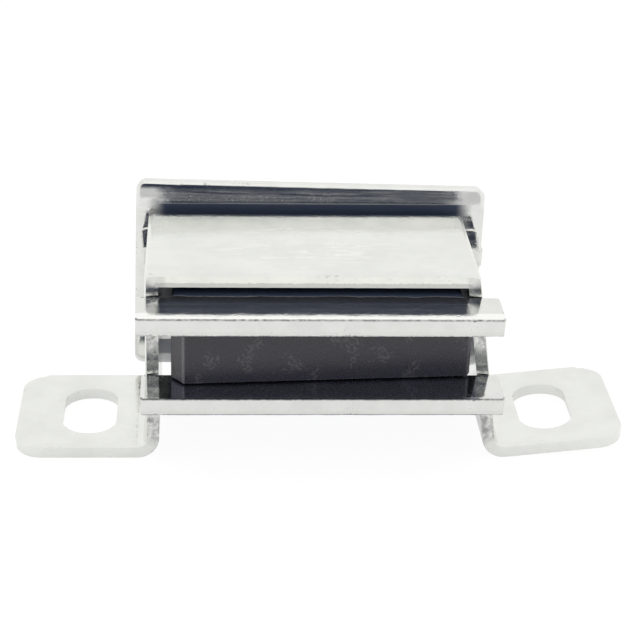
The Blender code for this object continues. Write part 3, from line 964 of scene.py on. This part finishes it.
def strike_mesh(place):
    """The plate on its back about its own middle, then stood up against the poles."""
    end, side = STRIKE_LENGTH / 2, STRIKE_HEIGHT / 2
    corners = [(-end, -side), (end, -side), (end, side), (-end, side)]
    edge = sheared_edge(STRIKE_THICKNESS, STRIKE_ROLL)
    rounded = [(x, y, STRIKE_CORNER) for x, y in corners]
    outer = edge_rings(rounded, edge, waver=0.02 * mm, grain=1.8 * mm)
    face, flare = STRIKE_THICKNESS / 2, COUNTERSINK_RADIUS - HOLE_RADIUS
    waist = face - COUNTERSINK_DEPTH
    bore = [(flare, face, 0.0), (flare - BURR, face - BURR, 0.5), (BURR, waist + BURR, 0.5)]
    bore += [(0.0, waist, 1.0), (0.0, BURR - face, 1.0), (BURR, -face, 0.0)]
    hole = slot_rings(0.0, 0.0, 2 * HOLE_RADIUS, 2 * HOLE_RADIUS + TIGHTEST_CORNER, bore)
    cuts = []
    for half, (reach, drop) in zip((end, side), CROWN):
        flat = half - reach
        falling = [flat + reach * step / CROWN_STEPS for step in range(CROWN_STEPS)]
        cuts.append(sorted(grid_lines(flat) + falling + [-line for line in falling]))
    plate = blank_sheet([outer, hole], *cuts)
    for vert in plate.verts:
        share = (vert.co.z + face) / STRIKE_THICKNESS
        for off_middle, half, (reach, drop) in zip(vert.co.xy, (end, side), CROWN):
            over = max(0.0, abs(off_middle) - half + reach)
            vert.co.z -= share * drop * (over / reach) ** 2
    stand = Matrix.Rotation(STRIKE_TURN, 4, "Y") @ Matrix.Rotation(RIGHT_ANGLE, 4, "X")
    bmesh.ops.transform(plate, matrix=Matrix.Translation(place) @ stand, verts=plate.verts)
    return plate


strike_finish = bright_plating(
    "bright_strike_plating", scuff_share=0.42, soil_and_painted_light=haze_and_painted_light
)
strike = piece_from("strike_plate_stamped", strike_mesh(middle_of("strike_plate")), strike_finish)
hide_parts("strike_plate")
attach(strike, "strike")


# Floor and light
# A white table, and a soft white studio round it with one dark side behind the camera, which the
# bright metal shows where it mirrors that way. The background is plain white.

TABLE_FRONT = 260.0 * mm
TABLE_REACH = 1500.0 * mm
SHADOW_SHARE = 0.09
MIRRORED_SHARE = 0.45
TABLE_GLOW = 1.04
PLAIN_WHITE = (1.0, 1.0, 1.0, 1.0)
STUDIO_WHITE = (1.0, 1.0, 0.985, 1.0)
DARK_SIDE = (0.024, 0.033, 0.06, 1.0)
FRONT_PANEL = 0.14

# How far round and how high the dark side and the brighter panel over it reach, on a unit globe
ROUND_TO_FRONT = (0.86, 0.95)
DARK_SIDE_TOP = (0.45, 0.52)
FRONT_PANEL_TOP = (0.85, 0.95)

table_top = bmesh.new()
for x, y in ((-1, -TABLE_FRONT), (1, -TABLE_FRONT), (1, TABLE_REACH), (-1, TABLE_REACH)):
    table_top.verts.new((x * TABLE_REACH, y, 0.0))
table_top.faces.new(table_top.verts)
floor_data = bpy.data.meshes.new("table_top")
table_top.to_mesh(floor_data)
table_top.free()
floor = bpy.data.objects.new("table_top", floor_data)
bpy.context.collection.objects.link(floor)

table_white = bpy.data.materials.new("table_white")
table_white.use_nodes = True
tree = table_white.node_tree
tree.nodes.remove(tree.nodes["Principled BSDF"])
paths = tree.nodes.new("ShaderNodeLightPath")
matt = wired(tree, "ShaderNodeBsdfDiffuse", {"Color": STUDIO_WHITE})
lit = wired(tree, "ShaderNodeEmission", {"Color": PLAIN_WHITE, "Strength": TABLE_GLOW})
not_direct = paths.outputs["Is Glossy Ray"], paths.outputs["Is Transmission Ray"]
mirrored = worked(tree, "MAXIMUM", *not_direct)
share = times(tree, paths.outputs["Is Camera Ray"], 1.0 - SHADOW_SHARE)
share = built_up(tree, share, [(mirrored, 1.0 - MIRRORED_SHARE)])
both = {0: share, 1: matt.outputs[0], 2: lit.outputs[0]}
mixed = wired(tree, "ShaderNodeMixShader", both)
tree.links.new(mixed.outputs[0], tree.nodes["Material Output"].inputs["Surface"])
floor_data.materials.append(table_white)

studio = bpy.data.worlds.new("studio")
studio.use_nodes = True
bpy.context.scene.world = studio
tree = studio.node_tree
sky = tree.nodes["Background"]
towards = wired(tree, "ShaderNodeTexCoord", {}).outputs["Generated"]
_, along, up = wired(tree, "ShaderNodeSeparateXYZ", {"Vector": towards}).outputs
level = worked(tree, "SQRT", worked(tree, "SUBTRACT", 1.0, times(tree, up, up)))
facing = worked(tree, "DIVIDE", times(tree, along, -1.0), level)
in_front = eased(tree, facing, *ROUND_TO_FRONT)
dark = times(tree, in_front, faded(tree, up, *DARK_SIDE_TOP))
panel = times(tree, eased(tree, up, *FRONT_PANEL_TOP, FRONT_PANEL, 0.0), in_front)
glow = {0: STUDIO_WHITE[:3], "Scale": worked(tree, "ADD", panel, 1.0)}
white = wired(tree, "ShaderNodeVectorMath", glow, operation="SCALE").outputs[0]
around = blended(tree, dark, white, DARK_SIDE)
paths = tree.nodes.new("ShaderNodeLightPath")
plain = blended(tree, paths.outputs["Is Camera Ray"], around, PLAIN_WHITE)
tree.links.new(plain, sky.inputs["Color"])
sky.inputs["Strength"].default_value = 1.0


# Camera
# A long lens behind the catch and a little above it. Its place, roll and length are those that fit
# the edges and corners in the photograph best.

AIM = Vector((-0.5265, -6.25, 13.696)) * mm
AZIMUTH = math.radians(-3.675)
ELEVATION = math.radians(24.0)
ROLL = math.radians(1.634)
DISTANCE = 175.706 * mm
LENS = 112.47
SENSOR = 36.0

lens = bpy.data.cameras.new("camera")
lens.lens = LENS
lens.sensor_width = SENSOR
lens.clip_start = 1.0 * mm
camera = bpy.data.objects.new("camera", lens)
bpy.context.collection.objects.link(camera)
back = Vector(
    (
        math.sin(AZIMUTH) * math.cos(ELEVATION),
        -math.cos(AZIMUTH) * math.cos(ELEVATION),
        math.sin(ELEVATION),
    )
)
level_right = (-back).cross(Vector((0, 0, 1))).normalized()
level_up = level_right.cross(-back)
right = math.cos(ROLL) * level_right + math.sin(ROLL) * level_up
upward = math.cos(ROLL) * level_up - math.sin(ROLL) * level_right
turn = Matrix((right, upward, back)).transposed().to_4x4()
camera.matrix_world = Matrix.Translation(AIM + back * DISTANCE) @ turn
bpy.context.scene.camera = camera
bpy.context.scene.view_settings.view_transform = "Standard"
